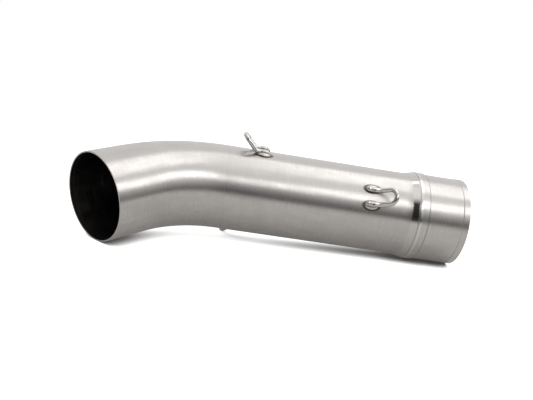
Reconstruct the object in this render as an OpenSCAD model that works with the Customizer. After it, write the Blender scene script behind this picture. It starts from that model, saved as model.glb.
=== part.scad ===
// Motorcycle decat pipe: one bent stainless tube with a formed outlet socket,
// four bent-wire spring hooks and the weld beads that hold them.
// The pipe is drawn with the socket mouth at the origin, its straight run along X and its bend
// towards -Y, and is then turned as it lies: on the socket lip, the under hook and the inlet rim.

/* [Tube] */
// Outside diameter of the tube
tube_d = 60; // [45:0.5:75]
// Thickness of the tube wall
wall = 1; // [0.8:0.1:1.6]
// Length from the socket mouth to the start of the bend
outlet_run = 174; // [150:1:260]
// Length of the straight inlet end
inlet_run = 31; // [20:1:80]
// How far the sized inlet end stands out over the bend, all round
inlet_sizing = 0.05; // [0.03:0.01:0.15]
// Radius of the bend at the middle of the tube
bend_r = 90; // [80:1:160]
// Angle that the bend turns through
bend_angle = 42.5; // [30:0.5:60]

/* [Outlet socket] */
// Gap all round between the socket and a pipe of the tube's own diameter
socket_gap = 0.2; // [0.1:0.05:0.4]
// Depth of the parallel socket
socket_depth = 29.5; // [22:0.5:36]
// Length of the sized lip at the mouth
lip_len = 4.5; // [3:0.1:6]
// How far the lip stands out over the sleeve
lip_rise = 0.3; // [0.2:0.05:0.6]
// Length of the slope at each end of the lip and at the small step
step_len = 0.4; // [0.2:0.1:0.6]
// How far the land behind the socket stands over the sleeve
land_rise = 0.6; // [0.4:0.05:0.9]
// Length of the land behind the socket
land_len = 5.3; // [3:0.1:8]
// Slope of the land, up towards the crest
land_slope = 2; // [0:0.5:3]
// Radius that rounds the crest between land and cone
crest_r = 6; // [3:0.5:9]
// Slope of the cone that leads down to the tube
cone_angle = 13; // [10:0.5:20]
// Radius of the hollow sweep between cone and tube
sweep_r = 26; // [15:1:35]

/* [Spring hooks] */
// Diameter of the hook wire
wire_d = 3.3; // [2.5:0.1:4]
// Clear width between the two legs of a hook
eye_w = 7; // [5.5:0.1:9]
// Length of each leg on the tube, up to its elbow
leg_len = 8.5; // [7:0.1:12]
// Length from the elbow to the end of the loop
rise_len = 12.8; // [11:0.1:18]
// Angle at which the loop stands off the tube
rise_angle = 46.5; // [35:0.5:60]
// Radius of the elbow at the middle of the wire
elbow_r = 3.3; // [2.5:0.1:5]
// How much fuller the wire is in the elbow, all round
elbow_swell = 0.03; // [0.02:0.01:0.1]
// Gap left under the wire for the weld to draw into
wire_seat = 0.03; // [0:0.01:0.1]
// Distance of the elbows of the inlet hooks from the socket mouth
inlet_hook_at = 155; // [140:0.5:160]
// Extra distance of the under hook's elbow
under_hook_shift = 6; // [0:0.5:8]
// Place round the tube of the top hook, from the inside of the bend upwards
top_hook_clock = 98; // [80:1:104]
// Place round the tube of the under hook, from the inside of the bend downwards
under_hook_clock = 108; // [80:1:115]
// Distance of the elbows of the outlet hooks from the socket mouth
outlet_hook_at = 66; // [62:0.5:90]
// Place round the tube of the front hook; the rear hook is opposite it
front_hook_clock = 41.5; // [30:0.1:60]

/* [Welds] */
// Radius of the bead laid along the outside of each leg
bead_r = 2.8; // [2.2:0.1:3.4]
// How deep the middle of that bead lies under the tube's surface
bead_sink = 0.7; // [0.3:0.1:1.2]
// Distance of the bead's middle from the middle of the leg
bead_side = 2.1; // [1.6:0.1:2.6]
// Length of the bead along the leg, between the middles of its round ends
bead_len = 7; // [5:0.1:9]
// Thickness of the weld that wraps a leg, at its sides
cap_t = 0.5; // [0.3:0.1:0.9]
// Thickness of that wrap on top of the leg
cap_over = 0.2; // [0.15:0.05:0.3]
// Length of leg that the wrap covers
cap_len = 6; // [4:0.1:7]
// Radius of the pit where the weld stopped
pit_r = 0.5; // [0.3:0.1:0.8]
// Depth of that pit
pit_depth = 0.15; // [0.05:0.05:0.15]

/* [Hidden] */
$fn = 96;

tube_r = tube_d / 2;
inlet_r = tube_r + inlet_sizing;
socket_r = tube_r + socket_gap;
sleeve_r = socket_r + wall;
lip_r = sleeve_r + lip_rise;
edge = 0.2;
arc_steps = 6;
cut_over = 1;
sizing_lap = 0.5;
elbow_lap = 0.25;
wire_fn = 36;

// Stations of the formed profile, counted back from the mouth, each with its outside radius
land_at = socket_depth + step_len;
land_r = sleeve_r + land_rise;
crest_at = land_at + land_len;
crest_top_r = land_r + (land_len - crest_r * sin(land_slope)) * tan(land_slope)
    + crest_r * (1 - cos(land_slope));
crest_mid_r = crest_top_r - crest_r;
cone_top = [crest_at + crest_r * sin(cone_angle), crest_mid_r + crest_r * cos(cone_angle)];
sweep_start_r = tube_r + sweep_r * (1 - cos(cone_angle));
cone_foot_at = cone_top[0] + (cone_top[1] - sweep_start_r) / tan(cone_angle);
sweep_end_at = cone_foot_at + sweep_r * sin(cone_angle);

crest_arc = [for (i = [0 : arc_steps])
    let (a = -land_slope + i * (land_slope + cone_angle) / arc_steps)
    [crest_at + crest_r * sin(a), crest_mid_r + crest_r * cos(a)]];
sweep_arc = [for (i = [0 : arc_steps])
    let (a = cone_angle * (1 - i / arc_steps))
    [sweep_end_at - sweep_r * sin(a), tube_r + sweep_r * (1 - cos(a))]];
shoulder = concat([[socket_depth, sleeve_r], [land_at, land_r]], crest_arc, sweep_arc,
    [[outlet_run, tube_r]]);

// The two hook legs lie on the tube, half_w to each side of the hook's middle
half_w = (eye_w + wire_d) / 2;
leg_h = sqrt(pow(tube_r + wire_d / 2 + wire_seat, 2) - pow(half_w, 2));
elbow_reach = elbow_r * tan(rise_angle / 2);

// Middle of the inlet mouth, and the tube's direction there, back towards the outlet
inlet_dir = [cos(bend_angle), sin(bend_angle), 0];
inlet_mouth = [-outlet_run - bend_r * sin(bend_angle), -bend_r * (1 - cos(bend_angle)), 0]
    - inlet_run * inlet_dir;

function unit(v) = v / norm(v);
function outward(clock) = [0, -cos(clock), sin(clock)];

// The round end of a hook's loop: its middle, and the normal of the loop's plane
function loop_dir(clock, sense) =
    cos(rise_angle) * [sense, 0, 0] + sin(rise_angle) * outward(clock);
function loop_mid(at, clock, sense) =
    [-at, 0, 0] + leg_h * outward(clock) + (rise_len - half_w) * loop_dir(clock, sense);
function loop_normal(clock, sense) =
    cross(loop_dir(clock, sense), cross([1, 0, 0], outward(clock)));

// The point of a ring, or of a ring of round wire, that reaches furthest along direction e
function furthest(mid, normal, r, e, wire_r = 0) =
    mid + r * unit(e - (e * normal) * normal) + wire_r * e;

under_mid = loop_mid(inlet_hook_at + under_hook_shift, -under_hook_clock, -1);
under_normal = loop_normal(-under_hook_clock, -1);
rear_mid = loop_mid(outlet_hook_at, front_hook_clock + 180, 1);
rear_normal = loop_normal(front_hook_clock + 180, 1);

// The pipe lies on three points; each pass takes the plane through the lowest ones again
function rest_plane(up) =
    let (
        a = furthest([0, 0, 0], [1, 0, 0], lip_r, -up),
        b = furthest(under_mid, under_normal, half_w, -up, wire_d / 2),
        c = furthest(inlet_mouth, inlet_dir, inlet_r, -up),
        n = unit(cross(b - a, c - a))
    )
    n[2] > 0 ? n : -n;
function rest_up(up, passes) = passes == 0 ? up : rest_up(rest_plane(up), passes - 1);
up = rest_up([0, 0, 1], 12);

roll = atan2(up[1], up[2]);
pitch = -atan2(up[0], norm([up[1], up[2]]));
// The row's X and Y axes as directions of the drawn pipe
row_x = [cos(pitch), sin(pitch) * sin(roll), sin(pitch) * cos(roll)];
row_y = [0, cos(roll), -sin(roll)];
outlet_reach = furthest([0, 0, 0], [1, 0, 0], lip_r, row_x) * row_x;
inlet_reach = furthest(inlet_mouth, inlet_dir, inlet_r, -row_x) * row_x;
near_reach = furthest(inlet_mouth, inlet_dir, inlet_r, -row_y) * row_y;
far_reach = furthest(rear_mid, rear_normal, half_w, row_y, wire_d / 2) * row_y;
floor_h = furthest([0, 0, 0], [1, 0, 0], lip_r, -up) * up;

module as_it_lies() {
    translate([-(outlet_reach + inlet_reach) / 2, -(near_reach + far_reach) / 2, -floor_h])
        rotate([roll, pitch, 0])
            children();
}

// Puts a hook or its welds on the straight run; the loop of one with sense -1 points to the inlet
module on_tube(at, clock, sense) {
    translate([-at, 0, 0])
        rotate([90 - clock, 0, 0])
            rotate([0, 0, sense < 0 ? 180 : 0])
                children();
}

// Turns a list of stations and radii into a solid of revolution along the straight run
module turned_run(stations) {
    rotate([0, -90, 0])
        rotate_extrude()
            polygon(concat(
                [[0, stations[0][0]]],
                [for (p = stations) [p[1], p[0]]],
                [[0, stations[len(stations) - 1][0]]]
            ));
}

// A solid bar along the bend and the sized inlet run, which start in one another; the overhang
// passes the inlet mouth
module bent_bar(r, overhang) {
    translate([-outlet_run, -bend_r, 0])
        rotate([0, 0, 90]) {
            rotate_extrude(angle = bend_angle)
                translate([bend_r, 0])
                    circle(r = r);
            rotate([0, 0, bend_angle])
                translate([bend_r, -sizing_lap, 0])
                    rotate([-90, 0, 0])
                        cylinder(r = r + inlet_sizing, h = sizing_lap + inlet_run + overhang);
        }
}

module pipe() {
    outside = concat([[0, lip_r - edge], [edge, lip_r], [lip_len, lip_r],
        [lip_len + step_len, sleeve_r]], shoulder);
    inside = concat([[-cut_over, socket_r + edge], [0, socket_r + edge], [edge, socket_r]],
        [for (p = shoulder) [p[0], p[1] - wall]]);
    color([0.72, 0.71, 0.69])
        as_it_lies()
            difference() {
                union() {
                    turned_run(outside);
                    bent_bar(tube_r, 0);
                }
                turned_run(inside);
                bent_bar(tube_r - wall, cut_over);
            }
}

// Leg and loop start inside the elbow, which is a little fuller than they are
module leg() {
    translate([-leg_len, 0, leg_h])
        rotate([0, 90, 0])
            cylinder(d = wire_d, h = leg_len - elbow_reach + elbow_lap);
}

module elbow() {
    translate([-elbow_reach, 0, leg_h + elbow_r])
        rotate([90, 0, 0])
            rotate([0, 0, -90])
                rotate_extrude(angle = rise_angle)
                    translate([elbow_r, 0])
                        circle(d = wire_d + 2 * elbow_swell);
}

module loop() {
    straight = rise_len - elbow_reach - half_w + elbow_lap;
    translate([-elbow_reach, 0, leg_h + elbow_r])
        rotate([0, -rise_angle, 0])
            translate([-elbow_lap, 0, -elbow_r]) {
                for (side = [-1, 1])
                    translate([0, side * half_w, 0])
                        rotate([0, 90, 0])
                            cylinder(d = wire_d, h = straight);
                translate([straight, 0, 0])
                    rotate([0, 0, -90])
                        rotate_extrude(angle = 180)
                            translate([half_w, 0])
                                circle(d = wire_d);
            }
}

module wire_hook() {
    $fn = wire_fn;
    for (side = [-1, 1])
        translate([0, side * half_w, 0]) {
            leg();
            elbow();
        }
    loop();
}

module capsule(r, length) {
    rotate([0, 90, 0])
        cylinder(r = r, h = length);
    sphere(r = r);
    translate([length, 0, 0])
        sphere(r = r);
}

// The welds of one hook: a bead outside each leg and a wrap over it, cut to the tube and the wire
module hook_welds() {
    $fn = wire_fn;
    cap_r = wire_d / 2 + cap_t;
    bead_mid = half_w + bead_side;
    bead_h = sqrt(pow(tube_r - bead_sink, 2) - pow(bead_mid, 2));
    cap_h = leg_h + cap_over - cap_t;
    difference() {
        for (side = [-1, 1]) {
            translate([-leg_len, side * bead_mid, bead_h])
                capsule(bead_r, bead_len);
            translate([-leg_len, side * half_w, cap_h])
                capsule(cap_r, cap_len);
        }
        translate([-2 * leg_len, 0, 0])
            rotate([0, 90, 0])
                cylinder(r = tube_r, h = 4 * leg_len, $fn = 96);
        for (side = [-1, 1]) {
            translate([0, side * half_w, 0]) {
                leg();
                elbow();
            }
            translate([-leg_len / 2, side * half_w, cap_h + cap_r + pit_r - pit_depth])
                sphere(r = pit_r);
        }
    }
}

module hook_inlet_top() {
    color([0.78, 0.77, 0.75])
        as_it_lies()
            on_tube(inlet_hook_at, top_hook_clock, -1)
                wire_hook();
}

module hook_inlet_under() {
    color([0.78, 0.77, 0.75])
        as_it_lies()
            on_tube(inlet_hook_at + under_hook_shift, -under_hook_clock, -1)
                wire_hook();
}

module hook_outlet_front() {
    color([0.78, 0.77, 0.75])
        as_it_lies()
            on_tube(outlet_hook_at, front_hook_clock, 1)
                wire_hook();
}

module hook_outlet_rear() {
    color([0.78, 0.77, 0.75])
        as_it_lies()
            on_tube(outlet_hook_at, front_hook_clock + 180, 1)
                wire_hook();
}

module weld_inlet_top() {
    color([0.66, 0.64, 0.61])
        as_it_lies()
            on_tube(inlet_hook_at, top_hook_clock, -1)
                hook_welds();
}

module weld_inlet_under() {
    color([0.66, 0.64, 0.61])
        as_it_lies()
            on_tube(inlet_hook_at + under_hook_shift, -under_hook_clock, -1)
                hook_welds();
}

module weld_outlet_front() {
    color([0.66, 0.64, 0.61])
        as_it_lies()
            on_tube(outlet_hook_at, front_hook_clock, 1)
                hook_welds();
}

module weld_outlet_rear() {
    color([0.66, 0.64, 0.61])
        as_it_lies()
            on_tube(outlet_hook_at, front_hook_clock + 180, 1)
                hook_welds();
}

pipe();
hook_inlet_top();
hook_inlet_under();
hook_outlet_front();
hook_outlet_rear();
weld_inlet_top();
weld_inlet_under();
weld_outlet_front();
weld_outlet_rear();
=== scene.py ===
import math

import bmesh
import bpy
from bpy.props import FloatProperty, FloatVectorProperty, PointerProperty
from mathutils import Euler, Matrix, Quaternion, Vector, noise as lumps


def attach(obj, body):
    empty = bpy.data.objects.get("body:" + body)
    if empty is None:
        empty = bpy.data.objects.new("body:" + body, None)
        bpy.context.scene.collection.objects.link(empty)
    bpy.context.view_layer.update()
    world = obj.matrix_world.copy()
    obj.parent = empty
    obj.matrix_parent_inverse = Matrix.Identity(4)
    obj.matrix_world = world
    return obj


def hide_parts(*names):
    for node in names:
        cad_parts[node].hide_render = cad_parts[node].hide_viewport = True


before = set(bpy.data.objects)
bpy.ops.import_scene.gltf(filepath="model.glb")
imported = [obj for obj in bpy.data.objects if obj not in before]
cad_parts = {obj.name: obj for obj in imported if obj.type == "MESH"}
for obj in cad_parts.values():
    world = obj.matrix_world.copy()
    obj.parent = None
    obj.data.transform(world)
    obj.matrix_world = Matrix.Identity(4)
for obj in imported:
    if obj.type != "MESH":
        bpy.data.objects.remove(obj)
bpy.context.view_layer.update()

bl_info = {
    "name": "Motorcycle Decat Pipe",
    "version": (1, 0, 0),
    "blender": (4, 5, 0),
    "location": "View3D > Sidebar > Decat Pipe",
    "description": "Dresses the brushed stainless link pipe, its spring hooks and its welds",
    "category": "Object",
}

# The drawn pipe: its straight run lies along X from the socket mouth, and its bend turns to -Y
OUTLET_RUN = 0.174
BEND_R = 0.090
BEND_ANGLE = math.radians(42.5)
TUBE_R = 0.030
# How the drawn pipe lies in the frame
LIE_PLACE = (0.13847, 0.0138887, 0.031482)
LIE_TURN = (math.radians(13.491), math.radians(1.9347), 0.0)

# Where each form of the socket starts and ends, from its mouth, and how soft its edges are
SOCKET_BANDS = {
    "lip": (0.0044, 0.0050, 0.0002),
    "step": (0.0293, 0.0301, 0.0002),
    "crest": (0.0346, 0.0362, 0.0003),
    "fold": (0.0363, 0.0372, 0.0002),
    "cone": (0.0375, 0.0420, 0.0004),
}
# Radius of a line within the wall, which parts the inside from the outside, and how much it
# changes between two stations: over the sweep, over the cone and past the step
WALL_LINE = 0.0292
WALL_CHANGES = (
    (0.0474, 0.0416, 0.0, 0.00067),
    (0.0416, 0.0365, 0.0, 0.00116),
    (0.0299, 0.0295, 0.0, -0.00063),
)

HOOK_NODES = ["hook_inlet_top", "hook_inlet_under", "hook_outlet_front", "hook_outlet_rear"]
# Each hook's elbows: distance from the socket mouth, degrees round the tube with 90 at its top, and
# 1 where the loop points to the socket or -1 where it points to the inlet
WELD_PLACES = {
    "weld_inlet_top": (0.155, 98.0, -1),
    "weld_inlet_under": (0.161, -108.0, -1),
    "weld_outlet_front": (0.066, 41.5, 1),
    "weld_outlet_rear": (0.066, 221.5, 1),
}
# Middle of a leg and of the bead beside it, from the hook's middle and from the tube's axis
LEG_MID = Vector((0.00515, 0.0312586))
BEAD_MID = Vector((0.0068, 0.0287))
# Middle and half length of a weld along its leg, from the elbows
WELD_MIDDLE = -0.0056
WELD_HALF = 0.0055
# Point that a weld's section grows from, point in the wall where its ends run out, and radius
# that its foot keeps to, halfway through the wall
WELD_HEART = (LEG_MID + BEAD_MID) / 2
WELD_ROOT = WELD_HEART.normalized() * (TUBE_R - 0.0008)
WELD_FOOT_R = TUBE_R - 0.0005
# Sharpness of the valley between the leg's round section and the bead's, per metre
WELD_VALLEY = 14000
# How close together the lumps of a weld lie, along it and round it
LUMPS_ALONG = 500
LUMPS_ROUND = 1.5
# Place of the pit along a weld, its depth, and how many pit radii its dent reaches
PIT_AT = -0.0048
PIT_DEPTH = 0.00016
PIT_REACH = 1.6
# Heat tint and painted toe shade round a weld: its middle across the hook, its half length and its
# half width
MARK_ACROSS = 0.0060
MARK_HALF_LENGTH = 0.0058
MARK_HALF_WIDTH = 0.0031

# The view of the photograph
CAMERA_PLACE = (-0.05755, -0.48195, 0.14286)
CAMERA_TURN = (77.2629, -7.8917, -4.5410)
CAMERA_LENS = 47.5955
LIGHT_AIM = Vector((0.0, 0.0, 0.04))
# Where along Y the floor runs into shade; how near the pipe lies where it leaves a contact shadow,
# and the shares of open air where that shadow starts to clear and where the paper is white
FLOOR_SHADE = (-0.15, -0.55)
SHADOW_REACH = 0.012
SHADOW_EDGE = (0.15, 0.50)
# Faint light of the paper in reflections
FLOOR_SHEEN = 0.11

# The room that the steel mirrors. Heights run from 0 at the horizon to 1 overhead, and angles are
# in radians round the room from ROOM_FRONT, positive towards the picture's left. An edge gives
# where a zone opens, and a ramp where it starts and ends and the light there. COVE_WAY is the
# way to the middle of the cove
ROOM_FRONT = math.radians(-199)
HORIZON = (-0.03, 0.0)
COVE_WAY = (0.109, 0.994)
COVE_EDGE = (-0.1, 0.6)
COVE_LIGHT = 0.80
SIDE_RAMPS = ((0.05, 0.42, 0.09, 0.70), (0.70, 0.95, 0.0, 0.30))
LEFT_EDGE = (0.50, 0.80)
LEFT_RAMPS = ((0.24, 0.34, 1.10, 0.12), (0.62, 0.80, 0.0, 0.80))
LOW_ANGLE = (-0.57, -0.51)
LOW_HEIGHT = (0.46, 0.36)
LOW_SHARE = 0.55
GAP_ANGLES = ((-0.29, -0.23), (0.45, 0.30))
GAP_HEIGHTS = ((0.86, 0.68), (0.02, 0.12))
GAP_LIGHT = 0.02


# Settings

class TubeFinish(bpy.types.PropertyGroup):
    """Finish of the bent tube"""
    colour: FloatVectorProperty(
        name="Steel", description="Colour of the brushed stainless steel",
        default=(0.70, 0.672, 0.648), size=3, subtype="COLOR", min=0, max=1)
    # The bore's near-black colour is painted shade inside the tube, on dull unbrushed steel
    bore_shade_colour: FloatVectorProperty(
        name="Bore", description="Colour of the dull unbrushed inside",
        default=(0.05, 0.046, 0.043), size=3, subtype="COLOR", min=0, max=1)
    # Straw heat tint round the welds; darkened, it is also the painted shade at their toes
    heat_tint_and_toe_shade: FloatVectorProperty(
        name="Heat Tint", description="Faint straw tint round the welds",
        default=(0.62, 0.57, 0.50), size=3, subtype="COLOR", min=0, max=1)
    roughness: FloatProperty(
        name="Roughness", description="Roughness of the brushed outside",
        default=0.30, min=0, max=1, subtype="FACTOR")
    polish: FloatProperty(
        name="Polish", description="Roughness of the polished cone behind the socket",
        default=0.06, min=0, max=1, subtype="FACTOR")
    crest_polish: FloatProperty(
        name="Crest Polish", description="Roughness of the rubbed crest between land and cone",
        default=0.12, min=0, max=1, subtype="FACTOR")
    bore_roughness: FloatProperty(
        name="Bore Roughness", description="Roughness of the dull inside",
        default=0.42, min=0, max=1, subtype="FACTOR")
    brush_spread: FloatProperty(
        name="Brush Spread", description="How far the brush lines draw out a reflection",
        default=0.7, min=0, max=1, subtype="FACTOR")
    brush_spacing: FloatProperty(
        name="Brush Spacing", description="Spacing of the brush lines along the tube",
        default=0.00035, min=0.0001, max=0.005, subtype="DISTANCE", unit="LENGTH")
    brush_depth: FloatProperty(
        name="Brush Depth", description="Depth of the brush lines",
        default=0.000004, min=0, max=0.0002, subtype="DISTANCE", unit="LENGTH")


class HookFinish(bpy.types.PropertyGroup):
    """Finish of the wire hooks"""
    colour: FloatVectorProperty(
        name="Wire", description="Colour of the bright drawn wire",
        default=(0.80, 0.78, 0.755), size=3, subtype="COLOR", min=0, max=1)
    roughness: FloatProperty(
        name="Roughness", description="Roughness of the drawn wire",
        default=0.13, min=0, max=1, subtype="FACTOR")
    mark_depth: FloatProperty(
        name="Mark Depth", description="Depth of the small marks on the wire",
        default=0.00001, min=0, max=0.0002, subtype="DISTANCE", unit="LENGTH")


class WeldFinish(bpy.types.PropertyGroup):
    """Finish of the weld beads"""
    colour: FloatVectorProperty(
        name="Weld", description="Colour of the bright weld metal",
        default=(0.66, 0.635, 0.60), size=3, subtype="COLOR", min=0, max=1)
    # Straw tint that the heat left in patches; darkened, it also gives the painted shade at the
    # weld's foot and the pit's near-black colour
    tint: FloatVectorProperty(
        name="Heat Tint", description="Straw tint that the heat left in patches",
        default=(0.55, 0.47, 0.38), size=3, subtype="COLOR", min=0, max=1)
    ripple_spacing: FloatProperty(
        name="Ripple Spacing", description="Spacing of the ripples along a bead",
        default=0.0009, min=0.0003, max=0.003, subtype="DISTANCE", unit="LENGTH")
    ripple_depth: FloatProperty(
        name="Ripple Depth", description="Depth of the ripples along a bead",
        default=0.00009, min=0, max=0.001, subtype="DISTANCE", unit="LENGTH")
    bead_radius: FloatProperty(
        name="Bead Radius", description="Radius of the bead laid beside each leg",
        default=0.0022, min=0.0018, max=0.0034, subtype="DISTANCE", unit="LENGTH")
    wrap_radius: FloatProperty(
        name="Wrap Radius", description="Radius of the weld where it is drawn over the leg",
        default=0.00188, min=0.0017, max=0.0024, subtype="DISTANCE", unit="LENGTH")
    pit_radius: FloatProperty(
        name="Pit Radius", description="Radius of the small pit where each weld stopped",
        default=0.0007, min=0.0002, max=0.0008, subtype="DISTANCE", unit="LENGTH")


class StageLight(bpy.types.PropertyGroup):
    """Floor and studio light"""
    floor_colour: FloatVectorProperty(
        name="Floor", description="Colour of the plain pale floor",
        default=(0.55, 0.545, 0.535), size=3, subtype="COLOR", min=0, max=1)
    front_power: FloatProperty(
        name="Front Light", description="Power of the long soft box in front",
        default=4.2, min=0, unit="POWER")
    top_power: FloatProperty(
        name="Top Light", description="Power of the soft box above",
        default=1.5, min=0, unit="POWER")


# Node helpers

def add_node(tree, kind, **settings):
    """Adds a node and sets its properties"""
    node = tree.nodes.new(kind)
    for name, value in settings.items():
        setattr(node, name, value)
    return node


def feed(tree, socket, value):
    """Fills an input with a number, a colour, or another node's output"""
    if isinstance(value, bpy.types.NodeSocket):
        tree.links.new(value, socket)
    else:
        socket.default_value = value


def calc(tree, operation, *values):
    """A Math node; returns its output"""
    node = add_node(tree, "ShaderNodeMath", operation=operation)
    for socket, value in zip(node.inputs, values):
        feed(tree, socket, value)
    return node.outputs[0]


def remap(tree, value, low, high, to_low=0.0, to_high=1.0, smooth=False):
    """A Map Range node, clamped; returns its output"""
    node = add_node(tree, "ShaderNodeMapRange",
                    interpolation_type="SMOOTHSTEP" if smooth else "LINEAR")
    for socket, number in zip(node.inputs, (value, low, high, to_low, to_high)):
        feed(tree, socket, number)
    return node.outputs[0]


def add_ramps(tree, value, ramps, start=0.0):
    """A start number plus one ramp over a value for each (from, to, low, high)"""
    total = start
    for ramp in ramps:
        total = calc(tree, "ADD", remap(tree, value, *ramp), total)
    return total


def zone_mask(tree, *edges):
    """A mask that is 1 inside a zone; each edge is a value and the (from, to) where it opens"""
    mask = 1.0
    for value, edge in edges:
        mask = calc(tree, "MULTIPLY", remap(tree, value, *edge), mask)
    return mask


def blend_colour(tree, factor, first, second):
    """A Mix node for colours; returns its output"""
    node = add_node(tree, "ShaderNodeMix", data_type="RGBA")
    feed(tree, node.inputs["Factor"], factor)
    for socket, colour in ((node.inputs[6], first), (node.inputs[7], second)):
        feed(tree, socket, colour if isinstance(colour, bpy.types.NodeSocket) else (*colour[:3], 1))
    return node.outputs[2]


def blend_value(tree, factor, first, second):
    """A Mix node for numbers; returns its output"""
    node = add_node(tree, "ShaderNodeMix", data_type="FLOAT")
    feed(tree, node.inputs["Factor"], factor)
    feed(tree, node.inputs[2], first)
    feed(tree, node.inputs[3], second)
    return node.outputs[0]


def lay_over(tree, colour, mask, share, over):
    """Lays a second colour over a first one, by a share of a mask"""
    return blend_colour(tree, calc(tree, "MULTIPLY", mask, share), colour, over)


def shade(colour, factor):
    """A colour made darker or brighter"""
    return [min(1.0, part * factor) for part in colour]


def noise(tree, vector, detail, roughness=0.5):
    """A noise texture at the vector's own scale; returns its value"""
    node = add_node(tree, "ShaderNodeTexNoise")
    feed(tree, node.inputs["Vector"], vector)
    node.inputs["Scale"].default_value = 1.0
    node.inputs["Detail"].default_value = detail
    node.inputs["Roughness"].default_value = roughness
    return node.outputs["Fac"]


def along_band(tree, station, start, end, soft):
    """A mask that is 1 between two stations along the pipe"""
    rise = remap(tree, station, start - soft, start + soft, smooth=True)
    fall = remap(tree, station, end - soft, end + soft, 1.0, 0.0, smooth=True)
    return calc(tree, "MULTIPLY", rise, fall)


def new_group(name, inputs, outputs):
    """A shader node group with its inputs and outputs"""
    group = bpy.data.node_groups.new(name, "ShaderNodeTree")
    for socket_name, kind in inputs:
        group.interface.new_socket(socket_name, in_out="INPUT", socket_type=kind)
    for socket_name, kind in outputs:
        group.interface.new_socket(socket_name, in_out="OUTPUT", socket_type=kind)
    return group, group.nodes.new("NodeGroupInput"), group.nodes.new("NodeGroupOutput")


def bend_at(tree, position):
    """How far the bend has turned at a point, after the point's drawn coordinates: how far past
    the straight run, how far out from the bend's centre, and the height"""
    drawn = add_node(tree, "ShaderNodeMapping", vector_type="TEXTURE")
    tree.links.new(position, drawn.inputs["Vector"])
    drawn.inputs["Location"].default_value = LIE_PLACE
    drawn.inputs["Rotation"].default_value = LIE_TURN
    axes = add_node(tree, "ShaderNodeSeparateXYZ")
    tree.links.new(drawn.outputs[0], axes.inputs[0])
    past = calc(tree, "SUBTRACT", -OUTLET_RUN, axes.outputs["X"])
    out = calc(tree, "ADD", axes.outputs["Y"], BEND_R)
    turn = calc(tree, "ARCTAN2", past, out)
    turn = calc(tree, "MINIMUM", calc(tree, "MAXIMUM", turn, 0.0), BEND_ANGLE)
    return past, out, axes.outputs["Z"], turn


def pipe_axis(tree, position):
    """Direction of the pipe's axis at a point"""
    turn = bend_at(tree, position)[3]
    drawn = add_node(tree, "ShaderNodeCombineXYZ")
    tree.links.new(calc(tree, "COSINE", turn), drawn.inputs[0])
    tree.links.new(calc(tree, "SINE", turn), drawn.inputs[1])
    axis = add_node(tree, "ShaderNodeMapping", vector_type="VECTOR")
    tree.links.new(drawn.outputs[0], axis.inputs["Vector"])
    axis.inputs["Rotation"].default_value = LIE_TURN
    return axis.outputs[0]


def pipe_coordinates():
    """Group: how far along the pipe a point is from the socket mouth, and where round it"""
    if "Pipe Coordinates" in bpy.data.node_groups:
        return bpy.data.node_groups["Pipe Coordinates"]
    group, given, result = new_group(
        "Pipe Coordinates", [("Position", "NodeSocketVector")],
        [("Station", "NodeSocketFloat"), ("Side", "NodeSocketFloat"),
         ("Height", "NodeSocketFloat"), ("Radius", "NodeSocketFloat")])
    past, out, height, turn = bend_at(group, given.outputs["Position"])
    sine, cosine = calc(group, "SINE", turn), calc(group, "COSINE", turn)
    along = calc(group, "SUBTRACT", calc(group, "MULTIPLY", past, cosine),
                 calc(group, "MULTIPLY", out, sine))
    side = calc(group, "ADD", calc(group, "MULTIPLY", past, sine),
                calc(group, "MULTIPLY", out, cosine))
    side = calc(group, "SUBTRACT", side, BEND_R)
    station = calc(group, "MULTIPLY_ADD", turn, BEND_R, calc(group, "ADD", along, OUTLET_RUN))
    radius = calc(group, "SQRT", calc(group, "ADD", calc(group, "MULTIPLY", side, side),
                                      calc(group, "MULTIPLY", height, height)))
    for name, value in (("Station", station), ("Side", side), ("Height", height),
                        ("Radius", radius)):
        group.links.new(value, result.inputs[name])
    return group


def stretched(tree, given, along, across):
    """Station, side and height as one vector, multiplied along the pipe and across it"""
    spot = add_node(tree, "ShaderNodeCombineXYZ")
    for socket, name, factor in zip(spot.inputs, ("Station", "Side", "Height"),
                                    (along, across, across)):
        tree.links.new(calc(tree, "MULTIPLY", given.outputs[name], factor), socket)
    return spot.outputs[0]


def brush_lines():
    """Group: fine and broad brush lines that run round the pipe, and rub marks drawn out along
    it"""
    if "Brush Lines" in bpy.data.node_groups:
        return bpy.data.node_groups["Brush Lines"]
    group, given, result = new_group(
        "Brush Lines",
        [("Station", "NodeSocketFloat"), ("Side", "NodeSocketFloat"),
         ("Height", "NodeSocketFloat"), ("Spacing", "NodeSocketFloat")],
        [("Fine", "NodeSocketFloat"), ("Broad", "NodeSocketFloat"),
         ("Rubs", "NodeSocketFloat")])
    rubs = noise(group, stretched(group, given, 70.0, 210.0), 4.0, 0.55)
    group.links.new(rubs, result.inputs["Rubs"])
    for name, share, across, detail in (("Fine", 1.0, 45.0, 4.0), ("Broad", 0.2, 14.0, 2.0)):
        along = calc(group, "DIVIDE", share, given.outputs["Spacing"])
        lines = noise(group, stretched(group, given, along, across), detail, 0.6)
        group.links.new(lines, result.inputs[name])
    return group


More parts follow.
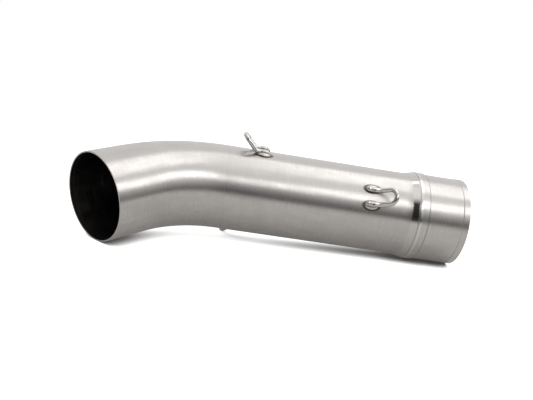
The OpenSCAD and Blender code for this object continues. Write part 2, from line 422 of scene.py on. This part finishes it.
def weld_toe():
    """Group: masks on the tube round the two welds of one hook: a dark toe close by, for painted
    shade, and a wider glow, for the heat tint"""
    if "Weld Toe" in bpy.data.node_groups:
        return bpy.data.node_groups["Weld Toe"]
    group, given, result = new_group(
        "Weld Toe",
        [("Station", "NodeSocketFloat"), ("Side", "NodeSocketFloat"),
         ("Height", "NodeSocketFloat"), ("At", "NodeSocketFloat"), ("Clock", "NodeSocketFloat"),
         ("Sense", "NodeSocketFloat")],
        [("Toe", "NodeSocketFloat"), ("Glow", "NodeSocketFloat")])
    station, side, height, at, clock, sense = given.outputs[:6]
    sine, cosine = calc(group, "SINE", clock), calc(group, "COSINE", clock)
    across = calc(group, "ADD", calc(group, "MULTIPLY", side, sine),
                  calc(group, "MULTIPLY", height, cosine))
    out = calc(group, "SUBTRACT", calc(group, "MULTIPLY", height, sine),
               calc(group, "MULTIPLY", side, cosine))
    along = calc(group, "MULTIPLY", calc(group, "SUBTRACT", at, station), sense)
    along = calc(group, "DIVIDE", calc(group, "SUBTRACT", along, WELD_MIDDLE), MARK_HALF_LENGTH)
    across = calc(group, "SUBTRACT", calc(group, "ABSOLUTE", across), MARK_ACROSS)
    across = calc(group, "DIVIDE", across, MARK_HALF_WIDTH)
    apart = calc(group, "SQRT", calc(group, "ADD", calc(group, "MULTIPLY", along, along),
                                     calc(group, "MULTIPLY", across, across)))
    hook_side = calc(group, "GREATER_THAN", out, TUBE_R * 2 / 3)
    # Each mark fades between two distances from the weld's middle, in half lengths
    for name, start, end in (("Toe", 1.05, 1.28), ("Glow", 1.1, 2.2)):
        mark = remap(group, apart, start, end, 1.0, 0.0, smooth=True)
        group.links.new(calc(group, "MULTIPLY", mark, hook_side), result.inputs[name])
    return group


def metal_grain():
    """Group: small even grain and handling marks on bare metal"""
    if "Metal Grain" in bpy.data.node_groups:
        return bpy.data.node_groups["Metal Grain"]
    group, given, result = new_group(
        "Metal Grain", [("Position", "NodeSocketVector"), ("Scale", "NodeSocketFloat")],
        [("Grain", "NodeSocketFloat"), ("Marks", "NodeSocketFloat")])
    for name, share, detail in (("Grain", 1.0, 5.0), ("Marks", 0.12, 2.0)):
        spot = add_node(group, "ShaderNodeVectorMath", operation="SCALE")
        group.links.new(given.outputs["Position"], spot.inputs[0])
        group.links.new(calc(group, "MULTIPLY", given.outputs["Scale"], share),
                        spot.inputs["Scale"])
        group.links.new(noise(group, spot.outputs[0], detail), result.inputs[name])
    return group


def place_group(tree, group, **inputs):
    """Puts a node group into a material; returns its outputs"""
    node = add_node(tree, "ShaderNodeGroup", node_tree=group)
    for name, value in inputs.items():
        feed(tree, node.inputs[name], value)
    return node.outputs


def new_metal(name):
    """A metal material; returns it with its tree, its shader and the object position"""
    material = bpy.data.materials.new(name)
    material.use_nodes = True
    tree = material.node_tree
    shader = tree.nodes["Principled BSDF"]
    shader.inputs["Metallic"].default_value = 1.0
    position = add_node(tree, "ShaderNodeTexCoord").outputs["Object"]
    return material, tree, shader, position


def add_bump(tree, shader, height, distance):
    """Feeds a height into the shader's normal"""
    bump = add_node(tree, "ShaderNodeBump")
    bump.inputs["Distance"].default_value = distance
    feed(tree, bump.inputs["Height"], height)
    tree.links.new(bump.outputs[0], shader.inputs["Normal"])


def dress(node_names, material):
    """Gives CAD nodes a material in their own slots"""
    for name in node_names:
        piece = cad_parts[name]
        if not piece.material_slots:
            piece.data.materials.append(material)
        for slot in piece.material_slots:
            slot.material = material


# The tube

def brushed_steel(tree, steel, broad, fine, worn):
    """Colour of the brushed outside, with its lines and rub marks"""
    colour = blend_colour(tree, broad, shade(steel, 0.98), shade(steel, 1.02))
    colour = lay_over(tree, colour, fine, 0.14, shade(steel, 0.62))
    return lay_over(tree, colour, worn, 0.12, shade(steel, 0.55))


def socket_shade_and_highlight(tree, colour, steel, bands):
    """Adds the socket's bands to a colour: plain steel on the cone, painted shade in the fold, at
    the step and at the lip, and a painted highlight on the crest; how far each one shows, and how
    dark or bright it is"""
    # The fold, step and lip are darkened as painted shade, and the crest is brightened as a painted
    # highlight
    for name, share, factor in (("fold", 0.35, 0.35), ("cone", 0.8, 1.0), ("crest", 0.6, 1.25),
                                ("step", 0.55, 0.25), ("lip", 0.14, 0.4)):
        colour = lay_over(tree, colour, bands[name], share, shade(steel, factor))
    return colour


def weld_tint_and_shade(tree, colour, heat_tint_and_toe_shade, coords):
    """Adds the heat tint round every weld to a colour, and painted shade at the toe of each weld"""
    for at, clock, sense in WELD_PLACES.values():
        mark = place_group(tree, weld_toe(), Station=coords["Station"], Side=coords["Side"],
                           Height=coords["Height"], At=at, Clock=math.radians(clock),
                           Sense=float(sense))
        colour = lay_over(tree, colour, mark["Glow"], 0.35, heat_tint_and_toe_shade)
        # Painted shade in the crease at each weld's toe
        colour = lay_over(tree, colour, mark["Toe"], 0.85, shade(heat_tint_and_toe_shade, 0.16))
    return colour


def shaded_bore(tree, bore, rings, marks):
    """Near-black colour of the inside, painted shade in the bore, with faint paler rings"""
    colour = blend_colour(tree, remap(tree, marks, 0.35, 0.65), shade(bore, 0.6),
                          shade(bore, 1.3))
    return blend_colour(tree, remap(tree, rings, 0.56, 0.74), colour, shade(bore, 2.6))


class DECAT_OT_tube(bpy.types.Operator):
    """Gives the tube its brushed outside, polished cone and dull bore, coloured near black as
    painted shade
    """
    bl_idname = "decat.tube"
    bl_label = "Brushed Tube"

    def execute(self, context):
        finish = context.scene.decat_tube
        material, tree, shader, position = new_metal("brushed_stainless")
        coords = place_group(tree, pipe_coordinates(), Position=position)
        lines = place_group(tree, brush_lines(), Station=coords["Station"], Side=coords["Side"],
                            Height=coords["Height"], Spacing=finish.brush_spacing)
        grain = place_group(tree, metal_grain(), Position=position, Scale=900.0)
        bands = {name: along_band(tree, coords["Station"], *band)
                 for name, band in SOCKET_BANDS.items()}
        wall_line = add_ramps(tree, coords["Station"], WALL_CHANGES, WALL_LINE)
        inside = calc(tree, "LESS_THAN", coords["Radius"], wall_line)
        broad = remap(tree, lines["Broad"], 0.3, 0.7)
        fine = remap(tree, lines["Fine"], 0.3, 0.7)
        worn = remap(tree, lines["Rubs"], 0.36, 0.66)

        colour = brushed_steel(tree, finish.colour, broad, fine, worn)
        # Painted shade in the fold, at the step and at the lip, and a painted highlight on the
        # crest
        colour = socket_shade_and_highlight(tree, colour, finish.colour, bands)
        colour = weld_tint_and_shade(tree, colour, finish.heat_tint_and_toe_shade, coords)
        # The inside gets painted shade: a near-black colour with faint paler rings
        bore = shaded_bore(tree, finish.bore_shade_colour, lines["Broad"], grain["Marks"])
        tree.links.new(blend_colour(tree, inside, colour, bore), shader.inputs["Base Color"])

        # The brush lines run round the tube, so they spread a reflection along it
        shader.inputs["Anisotropic"].default_value = finish.brush_spread
        tree.links.new(pipe_axis(tree, position), shader.inputs["Tangent"])
        rough = calc(tree, "MULTIPLY_ADD", fine, 0.08, finish.roughness - 0.06)
        rough = calc(tree, "MULTIPLY_ADD", worn, 0.05, rough)
        rough = blend_value(tree, bands["cone"], rough, finish.polish)
        rubbed = calc(tree, "MULTIPLY", bands["crest"], 0.7)
        rough = blend_value(tree, rubbed, rough, finish.crest_polish)
        rough = blend_value(tree, inside, rough, finish.bore_roughness)
        tree.links.new(rough, shader.inputs["Roughness"])

        brushed = calc(tree, "SUBTRACT", 1.0, calc(tree, "MULTIPLY", bands["cone"], 0.95))
        height = calc(tree, "MULTIPLY", lines["Fine"], brushed)
        height = calc(tree, "MULTIPLY_ADD", grain["Grain"], 0.15, height)
        add_bump(tree, shader, height, finish.brush_depth)
        dress(["pipe"], material)
        return {"FINISHED"}


# The hooks

class DECAT_OT_hooks(bpy.types.Operator):
    """Gives the four spring hooks their bright drawn wire"""
    bl_idname = "decat.hooks"
    bl_label = "Spring Hooks"

    def execute(self, context):
        finish = context.scene.decat_hooks
        material, tree, shader, position = new_metal("drawn_wire")
        grain = place_group(tree, metal_grain(), Position=position, Scale=1400.0)
        marks = remap(tree, grain["Marks"], 0.35, 0.7)
        tree.links.new(blend_colour(tree, marks, finish.colour, shade(finish.colour, 0.86)),
                       shader.inputs["Base Color"])
        tree.links.new(calc(tree, "MULTIPLY_ADD", grain["Grain"], 0.12, finish.roughness - 0.05),
                       shader.inputs["Roughness"])
        add_bump(tree, shader, grain["Grain"], finish.mark_depth)
        dress(HOOK_NODES, material)
        return {"FINISHED"}


# The welds

def hook_place(at, clock, sense):
    """Matrix that puts a hook's own frame on the lying pipe"""
    lying = Matrix.Translation(LIE_PLACE) @ Euler(LIE_TURN).to_matrix().to_4x4()
    turned = Matrix.Rotation(math.radians(90 - clock), 4, "X")
    flipped = Matrix.Rotation(math.pi if sense < 0 else 0.0, 4, "Z")
    return lying @ Matrix.Translation((-at, 0, 0)) @ turned @ flipped


def reach(start, heading, middle, radius):
    """Distance from a point inside a circle to its edge along a heading"""
    off = start - middle
    lean = off.dot(heading)
    return math.sqrt(lean * lean - off.length_squared + radius * radius) - lean


def weld_width(heading, finish):
    """How far a weld's section reaches from its heart along a heading: to the edge of the leg's
    or the bead's circle, whichever is further, with the valley between them filled a little"""
    leg = reach(WELD_HEART, heading, LEG_MID, finish.wrap_radius)
    bead = reach(WELD_HEART, heading, BEAD_MID, finish.bead_radius)
    return math.log(math.exp(leg * WELD_VALLEY) + math.exp(bead * WELD_VALLEY)) / WELD_VALLEY


def weld_point(along, heading, finish, seed):
    """A point on a weld's skin, for a place along it from -1 to 1 and a heading round it"""
    x = WELD_MIDDLE + WELD_HALF * along
    # The section is full along most of the weld and shrinks to a point at both ends
    full = (1 - abs(along) ** 2.3) ** 0.6
    wave = math.sin(2 * math.pi * (x - 0.0007 * abs(heading.x)) / finish.ripple_spacing)
    lump = lumps.noise(Vector((x * LUMPS_ALONG + seed, heading.x * LUMPS_ROUND,
                               heading.y * LUMPS_ROUND)))
    wide = weld_width(heading, finish) + finish.ripple_depth * (0.5 * wave + 0.9 * lump) * full
    skin = WELD_ROOT + (WELD_HEART + heading * wide - WELD_ROOT) * full
    if skin.length < WELD_FOOT_R:
        skin = skin * (WELD_FOOT_R / skin.length)
    return Vector((x, skin.x, skin.y))


def lay_weld(sheet, finish, side, seed):
    """Adds one weld: a rippled mound over the bead's and the leg's round sections, drawn out to a
    point at both ends, with its foot in the tube's wall and a pit on top of the leg, whose faces
    take a near-black material"""
    made = bmesh.ops.create_uvsphere(sheet, u_segments=72, v_segments=96, radius=1.0,
                                     matrix=Matrix.Rotation(math.pi / 2, 4, "Y"))
    pit = Vector((PIT_AT, LEG_MID.x - side * 0.4 * finish.wrap_radius,
                  LEG_MID.y + 0.93 * finish.wrap_radius))
    for vert in made["verts"]:
        along = max(-1.0, min(1.0, vert.co.x))
        heading = Vector((vert.co.y, vert.co.z))
        heading = heading.normalized() if heading.length > 1e-6 else Vector((0, 1))
        place = weld_point(along, heading, finish, seed)
        near = (place - pit).length / (finish.pit_radius * PIT_REACH)
        if near < 1:
            place.z -= PIT_DEPTH * (1 - near ** 2)
        vert.co = Vector((place.x, place.y * side, place.z))
    faces = {face for vert in made["verts"] for face in vert.link_faces}
    centre = Vector((pit.x, pit.y * side, pit.z))
    for face in faces:
        face.smooth = True
        # Faces in the pit take the near-black material
        in_pit = (face.calc_center_median() - centre).length < finish.pit_radius * 0.9
        face.material_index = 1 if in_pit else 0
    if side < 0:
        bmesh.ops.reverse_faces(sheet, faces=list(faces))


class DECAT_OT_welds(bpy.types.Operator):
    """Lays the rippled weld beads of the four hooks"""
    bl_idname = "decat.welds"
    bl_label = "Weld Beads"

    def weld_metal(self, finish):
        material, tree, shader, position = new_metal("weld_metal")
        coords = place_group(tree, pipe_coordinates(), Position=position)
        grain = place_group(tree, metal_grain(), Position=position, Scale=1100.0)
        tint = remap(tree, grain["Marks"], 0.45, 0.75, 0.0, 0.45)
        colour = blend_colour(tree, tint, finish.colour, finish.tint)
        # Painted shade at the weld's foot, where it meets the tube
        toe = remap(tree, coords["Radius"], TUBE_R + 0.0002, TUBE_R + 0.0011, 1.0, 0.0,
                    smooth=True)
        colour = lay_over(tree, colour, toe, 0.75, shade(finish.tint, 0.22))
        tree.links.new(colour, shader.inputs["Base Color"])
        tree.links.new(calc(tree, "MULTIPLY_ADD", grain["Grain"], 0.14, 0.05),
                       shader.inputs["Roughness"])
        add_bump(tree, shader, grain["Grain"], finish.ripple_depth * 0.3)
        return material

    def dark_pit(self, finish):
        material, tree, shader, position = new_metal("weld_pit")
        grain = place_group(tree, metal_grain(), Position=position, Scale=1500.0)
        # The pit's faces are coloured near black
        tree.links.new(blend_colour(tree, grain["Grain"], shade(finish.tint, 0.04),
                                    shade(finish.tint, 0.12)), shader.inputs["Base Color"])
        tree.links.new(calc(tree, "MULTIPLY_ADD", grain["Grain"], 0.2, 0.5),
                       shader.inputs["Roughness"])
        return material

    def execute(self, context):
        finish = context.scene.decat_welds
        materials = [self.weld_metal(finish), self.dark_pit(finish)]
        for number, (node, place) in enumerate(WELD_PLACES.items()):
            sheet = bmesh.new()
            for side in (-1, 1):
                lay_weld(sheet, finish, side, 7.0 * number + 3.0 * side)
            bmesh.ops.transform(sheet, matrix=hook_place(*place), verts=sheet.verts)
            mesh = bpy.data.meshes.new(node + "_beads")
            sheet.to_mesh(mesh)
            sheet.free()
            for material in materials:
                mesh.materials.append(material)
            piece = bpy.data.objects.new(node + "_beads", mesh)
            context.scene.collection.objects.link(piece)
            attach(piece, "root")
            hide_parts(node)
        return {"FINISHED"}


# The stage

def soft_box(name, power, azimuth, elevation, distance, width, height, roll=0.0):
    """A rectangular soft light that faces the pipe; azimuth runs from +Y towards +X"""
    lamp = bpy.data.lights.new(name, "AREA")
    lamp.shape = "RECTANGLE"
    lamp.size, lamp.size_y, lamp.energy = width, height, power
    box = bpy.data.objects.new(name, lamp)
    level = math.cos(math.radians(elevation))
    toward = Vector((level * math.sin(math.radians(azimuth)),
                     level * math.cos(math.radians(azimuth)),
                     math.sin(math.radians(elevation))))
    box.location = LIGHT_AIM + distance * toward
    turned = (-toward).to_track_quat("-Z", "Y") @ Quaternion((0, 0, 1), math.radians(roll))
    box.rotation_euler = turned.to_euler()
    box.visible_camera = False
    bpy.context.scene.collection.objects.link(box)


class DECAT_OT_stage(bpy.types.Operator):
    """Adds the floor, the studio light and the camera"""
    bl_idname = "decat.stage"
    bl_label = "Stage"

    def paper(self, pale):
        """Pale matt paper, in shade in front of the pipe. The camera sees it white, with only the
        close contact shadow left dark, and reflections see a faint sheen on it"""
        material = bpy.data.materials.new("floor_paper")
        material.use_nodes = True
        tree = material.node_tree
        shader = tree.nodes["Principled BSDF"]
        shader.inputs["Roughness"].default_value = 0.9
        shader.inputs["Specular IOR Level"].default_value = 0.1
        spot = add_node(tree, "ShaderNodeSeparateXYZ")
        tree.links.new(add_node(tree, "ShaderNodeTexCoord").outputs["Object"], spot.inputs[0])
        in_shade = remap(tree, spot.outputs["Y"], *FLOOR_SHADE, smooth=True)
        tree.links.new(blend_colour(tree, in_shade, pale, shade(pale, 0.5)),
                       shader.inputs["Base Color"])
        ray = add_node(tree, "ShaderNodeLightPath").outputs
        open_air = add_node(tree, "ShaderNodeAmbientOcclusion", samples=16)
        open_air.inputs["Distance"].default_value = SHADOW_REACH
        white = calc(tree, "MULTIPLY", ray["Is Camera Ray"],
                     remap(tree, open_air.outputs["AO"], *SHADOW_EDGE))
        sheen = calc(tree, "MULTIPLY", ray["Is Glossy Ray"],
                     blend_value(tree, in_shade, FLOOR_SHEEN, 0.0))
        glow = add_node(tree, "ShaderNodeEmission")
        tree.links.new(calc(tree, "ADD", white, sheen), glow.inputs["Strength"])
        both = add_node(tree, "ShaderNodeAddShader")
        tree.links.new(shader.outputs[0], both.inputs[0])
        tree.links.new(glow.outputs[0], both.inputs[1])
        tree.links.new(both.outputs[0], tree.nodes["Material Output"].inputs["Surface"])
        return material

    def floor(self, context):
        sheet = bmesh.new()
        bmesh.ops.create_grid(sheet, x_segments=1, y_segments=1, size=2.5)
        mesh = bpy.data.meshes.new("floor")
        sheet.to_mesh(mesh)
        sheet.free()
        mesh.materials.append(self.paper(context.scene.decat_stage.floor_colour))
        piece = bpy.data.objects.new("floor", mesh)
        context.scene.collection.objects.link(piece)

    def room(self, context):
        """White backdrop for the camera. For light and reflections it is a pale cove behind the
        pipe, walls that brighten with height, a left wall bright at its foot and its top, less
        light low down except on the right, and a dark gap in front"""
        world = bpy.data.worlds.new("studio")
        world.use_nodes = True
        context.scene.world = world
        tree = world.node_tree
        back = tree.nodes["Background"]
        way = add_node(tree, "ShaderNodeTexCoord").outputs["Generated"]
        axes = add_node(tree, "ShaderNodeSeparateXYZ")
        tree.links.new(way, axes.inputs[0])
        up = axes.outputs["Z"]
        turn = add_node(tree, "ShaderNodeMapping", vector_type="TEXTURE")
        turn.inputs["Rotation"].default_value = (0, 0, ROOM_FRONT)
        tree.links.new(way, turn.inputs["Vector"])
        turned = add_node(tree, "ShaderNodeSeparateXYZ")
        tree.links.new(turn.outputs[0], turned.inputs[0])
        angle = calc(tree, "ARCTAN2", turned.outputs["X"], turned.outputs["Y"])

        light = blend_value(tree, remap(tree, angle, *LEFT_EDGE), add_ramps(tree, up, SIDE_RAMPS),
                            add_ramps(tree, up, LEFT_RAMPS))
        low = zone_mask(tree, (angle, LOW_ANGLE), (up, LOW_HEIGHT))
        light = calc(tree, "MULTIPLY", light, blend_value(tree, low, 1.0, LOW_SHARE))
        gap = zone_mask(tree, *((angle, edge) for edge in GAP_ANGLES),
                        *((up, edge) for edge in GAP_HEIGHTS))
        light = blend_value(tree, gap, light, GAP_LIGHT)
        ahead = calc(tree, "ADD", calc(tree, "MULTIPLY", axes.outputs["X"], COVE_WAY[0]),
                     calc(tree, "MULTIPLY", axes.outputs["Y"], COVE_WAY[1]))
        cove = remap(tree, ahead, *COVE_EDGE, smooth=True)
        light = blend_value(tree, cove, light, COVE_LIGHT)
        light = calc(tree, "MULTIPLY", light, remap(tree, up, *HORIZON))
        seen = add_node(tree, "ShaderNodeLightPath").outputs["Is Camera Ray"]
        tree.links.new(blend_value(tree, seen, light, 1.0), back.inputs["Strength"])
        back.inputs["Color"].default_value = (1, 1, 1, 1)

    def camera(self, context):
        lens = bpy.data.cameras.new("camera")
        lens.lens, lens.sensor_width = CAMERA_LENS, 36
        lens.clip_start = 0.01
        camera = bpy.data.objects.new("camera", lens)
        camera.location = CAMERA_PLACE
        camera.rotation_euler = Euler([math.radians(turn) for turn in CAMERA_TURN])
        context.scene.collection.objects.link(camera)
        context.scene.camera = camera

    def execute(self, context):
        stage = context.scene.decat_stage
        self.floor(context)
        self.room(context)
        soft_box("front_soft_box", stage.front_power, azimuth=133.5, elevation=37, distance=1.5,
                 width=2.2, height=0.42, roll=-8)
        soft_box("top_soft_box", stage.top_power, azimuth=70, elevation=66, distance=1.3,
                 width=0.9, height=0.6)
        self.camera(context)
        context.scene.view_settings.view_transform = "Standard"
        return {"FINISHED"}


class DECAT_PT_panel(bpy.types.Panel):
    """Lists the finishes and the steps that build the dressed pipe"""
    bl_idname = "DECAT_PT_panel"
    bl_label = "Decat Pipe"
    bl_space_type = "VIEW_3D"
    bl_region_type = "UI"
    bl_category = "Decat Pipe"

    def draw(self, context):
        for group, operator in (("decat_tube", "decat.tube"), ("decat_hooks", "decat.hooks"),
                                ("decat_welds", "decat.welds"), ("decat_stage", "decat.stage")):
            box = self.layout.box()
            settings = getattr(context.scene, group)
            for name in settings.__annotations__:
                box.prop(settings, name)
            box.operator(operator)


SETTINGS = {"decat_tube": TubeFinish, "decat_hooks": HookFinish, "decat_welds": WeldFinish,
            "decat_stage": StageLight}
CLASSES = (*SETTINGS.values(), DECAT_OT_tube, DECAT_OT_hooks, DECAT_OT_welds, DECAT_OT_stage,
           DECAT_PT_panel)


def register():
    for cls in CLASSES:
        bpy.utils.register_class(cls)
    for name, cls in SETTINGS.items():
        setattr(bpy.types.Scene, name, PointerProperty(type=cls))


def unregister():
    for name in SETTINGS:
        delattr(bpy.types.Scene, name)
    for cls in reversed(CLASSES):
        bpy.utils.unregister_class(cls)


def main():
    register()
    bpy.ops.decat.tube()
    bpy.ops.decat.hooks()
    bpy.ops.decat.welds()
    bpy.ops.decat.stage()


if __name__ == "__main__":
    main()
